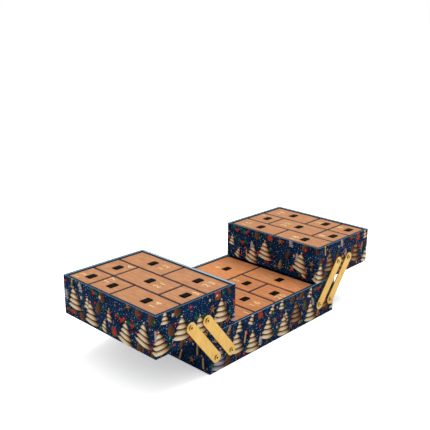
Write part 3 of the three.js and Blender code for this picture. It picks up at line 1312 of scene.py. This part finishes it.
def lay_floor(settings):
    """A wide pale floor that keeps the object's shadow.

    The camera meets it twice as bright and with a glow, so that it is white beside the shadow.
    """
    half = settings.floor_width / 2
    grey = (0.8, 0.8, 0.8, 1)
    white = (1, 1, 1, 1)
    camera_glow = 0.38
    mirror_glow = 0.2
    mesh = bpy.data.meshes.new("floor")
    corners = [(-half, -half, 0), (half, -half, 0), (half, half, 0), (-half, half, 0)]
    mesh.from_pydata(corners, [], [(0, 1, 2, 3)])
    material = bpy.data.materials.new("pale_floor")
    sheet = cleared(material)
    matt = sheet.node("BsdfDiffuse", {}, {"Color": grey})
    path = sheet.node("LightPath")

    def glowing(ray, strength):
        glow = sheet.node("Emission", {}, {"Color": white, "Strength": strength * path[ray]})
        return sheet.node("AddShader", {}, {0: matt, 1: glow})

    lit = sheet.node("AddShader", {}, {0: matt, 1: glowing("Is Camera Ray", camera_glow)})
    plain = glowing("Is Glossy Ray", mirror_glow)
    shader = sheet.node("MixShader", {}, {0: path["Is Camera Ray"], 1: plain, 2: lit})
    sheet.node("OutputMaterial", {}, {"Surface": shader})
    mesh.materials.append(material)
    put("floor", mesh)


def light_room(settings):
    """Even light from all round and one soft lamp overhead.

    Mirrors meet a studio that is brighter at the back right. The camera meets plain white.
    """
    world = bpy.data.worlds.new("studio")
    sheet = cleared(world)
    path = sheet.node("LightPath")
    way = sheet.node("SeparateXYZ", {}, {"Vector": sheet.node("TexCoord")["Generated"]})
    bright_side = way["X"] * 0.72 + way["Y"] * 0.55 + way["Z"] * 0.42
    mirrored = 0.72 + 0.42 * bright_side
    seen = path["Is Camera Ray"] + path["Is Transmission Ray"]
    strength = settings.sky + seen * (1 - settings.sky) + path["Is Glossy Ray"] * (mirrored - settings.sky)
    background = sheet.node("Background", {}, {"Color": (1, 1, 1, 1), "Strength": strength})
    sheet.node("OutputWorld", {}, {"Surface": background})
    bpy.context.scene.world = world
    lamp = bpy.data.lights.new("key", "SUN")
    lamp.energy = settings.key
    lamp.angle = math.radians(42)
    towards_lamp = Vector((0.44, 0.06, 1))
    put("key", lamp).rotation_euler = towards_lamp.to_track_quat("Z", "Y").to_euler()


def place_camera():
    """The photograph's view: angles in degrees, the point looked at and the distance in metres."""
    azimuth = math.radians(-46.509)
    elevation = math.radians(16.873)
    roll = math.radians(0.473)
    target = Vector((0.4878, 0.5058, 0))
    distance = 1.9699
    focal_pixels = 662.39
    picture_pixels = 430
    data = bpy.data.cameras.new("camera")
    data.sensor_width = 36
    data.lens = focal_pixels / picture_pixels * data.sensor_width
    turn = (
        Matrix.Rotation(azimuth, 4, "Z")
        @ Matrix.Rotation(math.pi / 2 - elevation, 4, "X")
        @ Matrix.Rotation(roll, 4, "Z"))
    camera = put("camera", data)
    camera.matrix_world = Matrix.Translation(target) @ turn @ Matrix.Translation((0, 0, distance))
    bpy.context.scene.camera = camera


class CALENDAR_PT_panel(bpy.types.Panel):
    """The calendar's operators, in the order in which they run"""

    bl_idname = "CALENDAR_PT_panel"
    bl_label = "Advent Calendar Box"
    bl_space_type = "VIEW_3D"
    bl_region_type = "UI"
    bl_category = "Calendar"

    def draw(self, context):
        for operator in OPERATORS:
            self.layout.operator(operator.bl_idname)


OPERATORS = (
    CALENDAR_OT_walls,
    CALENDAR_OT_boards,
    CALENDAR_OT_cartons,
    CALENDAR_OT_ribbons,
    CALENDAR_OT_numbers,
    CALENDAR_OT_arms,
    CALENDAR_OT_rivets,
    CALENDAR_OT_stage,
)

SETTINGS = {
    "calendar_boards": BoardSettings,
    "calendar_cartons": CartonSettings,
    "calendar_ribbons": RibbonSettings,
    "calendar_numbers": NumberSettings,
    "calendar_arms": ArmSettings,
    "calendar_stage": StageSettings,
}


def register():
    for name, group in SETTINGS.items():
        bpy.utils.register_class(group)
        setattr(bpy.types.Scene, name, PointerProperty(type=group))
    for operator in OPERATORS:
        bpy.utils.register_class(operator)
    bpy.utils.register_class(CALENDAR_PT_panel)


def unregister():
    bpy.utils.unregister_class(CALENDAR_PT_panel)
    for operator in reversed(OPERATORS):
        bpy.utils.unregister_class(operator)
    for name, group in reversed(SETTINGS.items()):
        delattr(bpy.types.Scene, name)
        bpy.utils.unregister_class(group)


def main():
    register()
    bpy.ops.calendar.walls()
    bpy.ops.calendar.boards()
    bpy.ops.calendar.cartons()
    bpy.ops.calendar.ribbons()
    bpy.ops.calendar.numbers()
    bpy.ops.calendar.arms()
    bpy.ops.calendar.rivets()
    bpy.ops.calendar.stage()


if __name__ == "__main__":
    main()
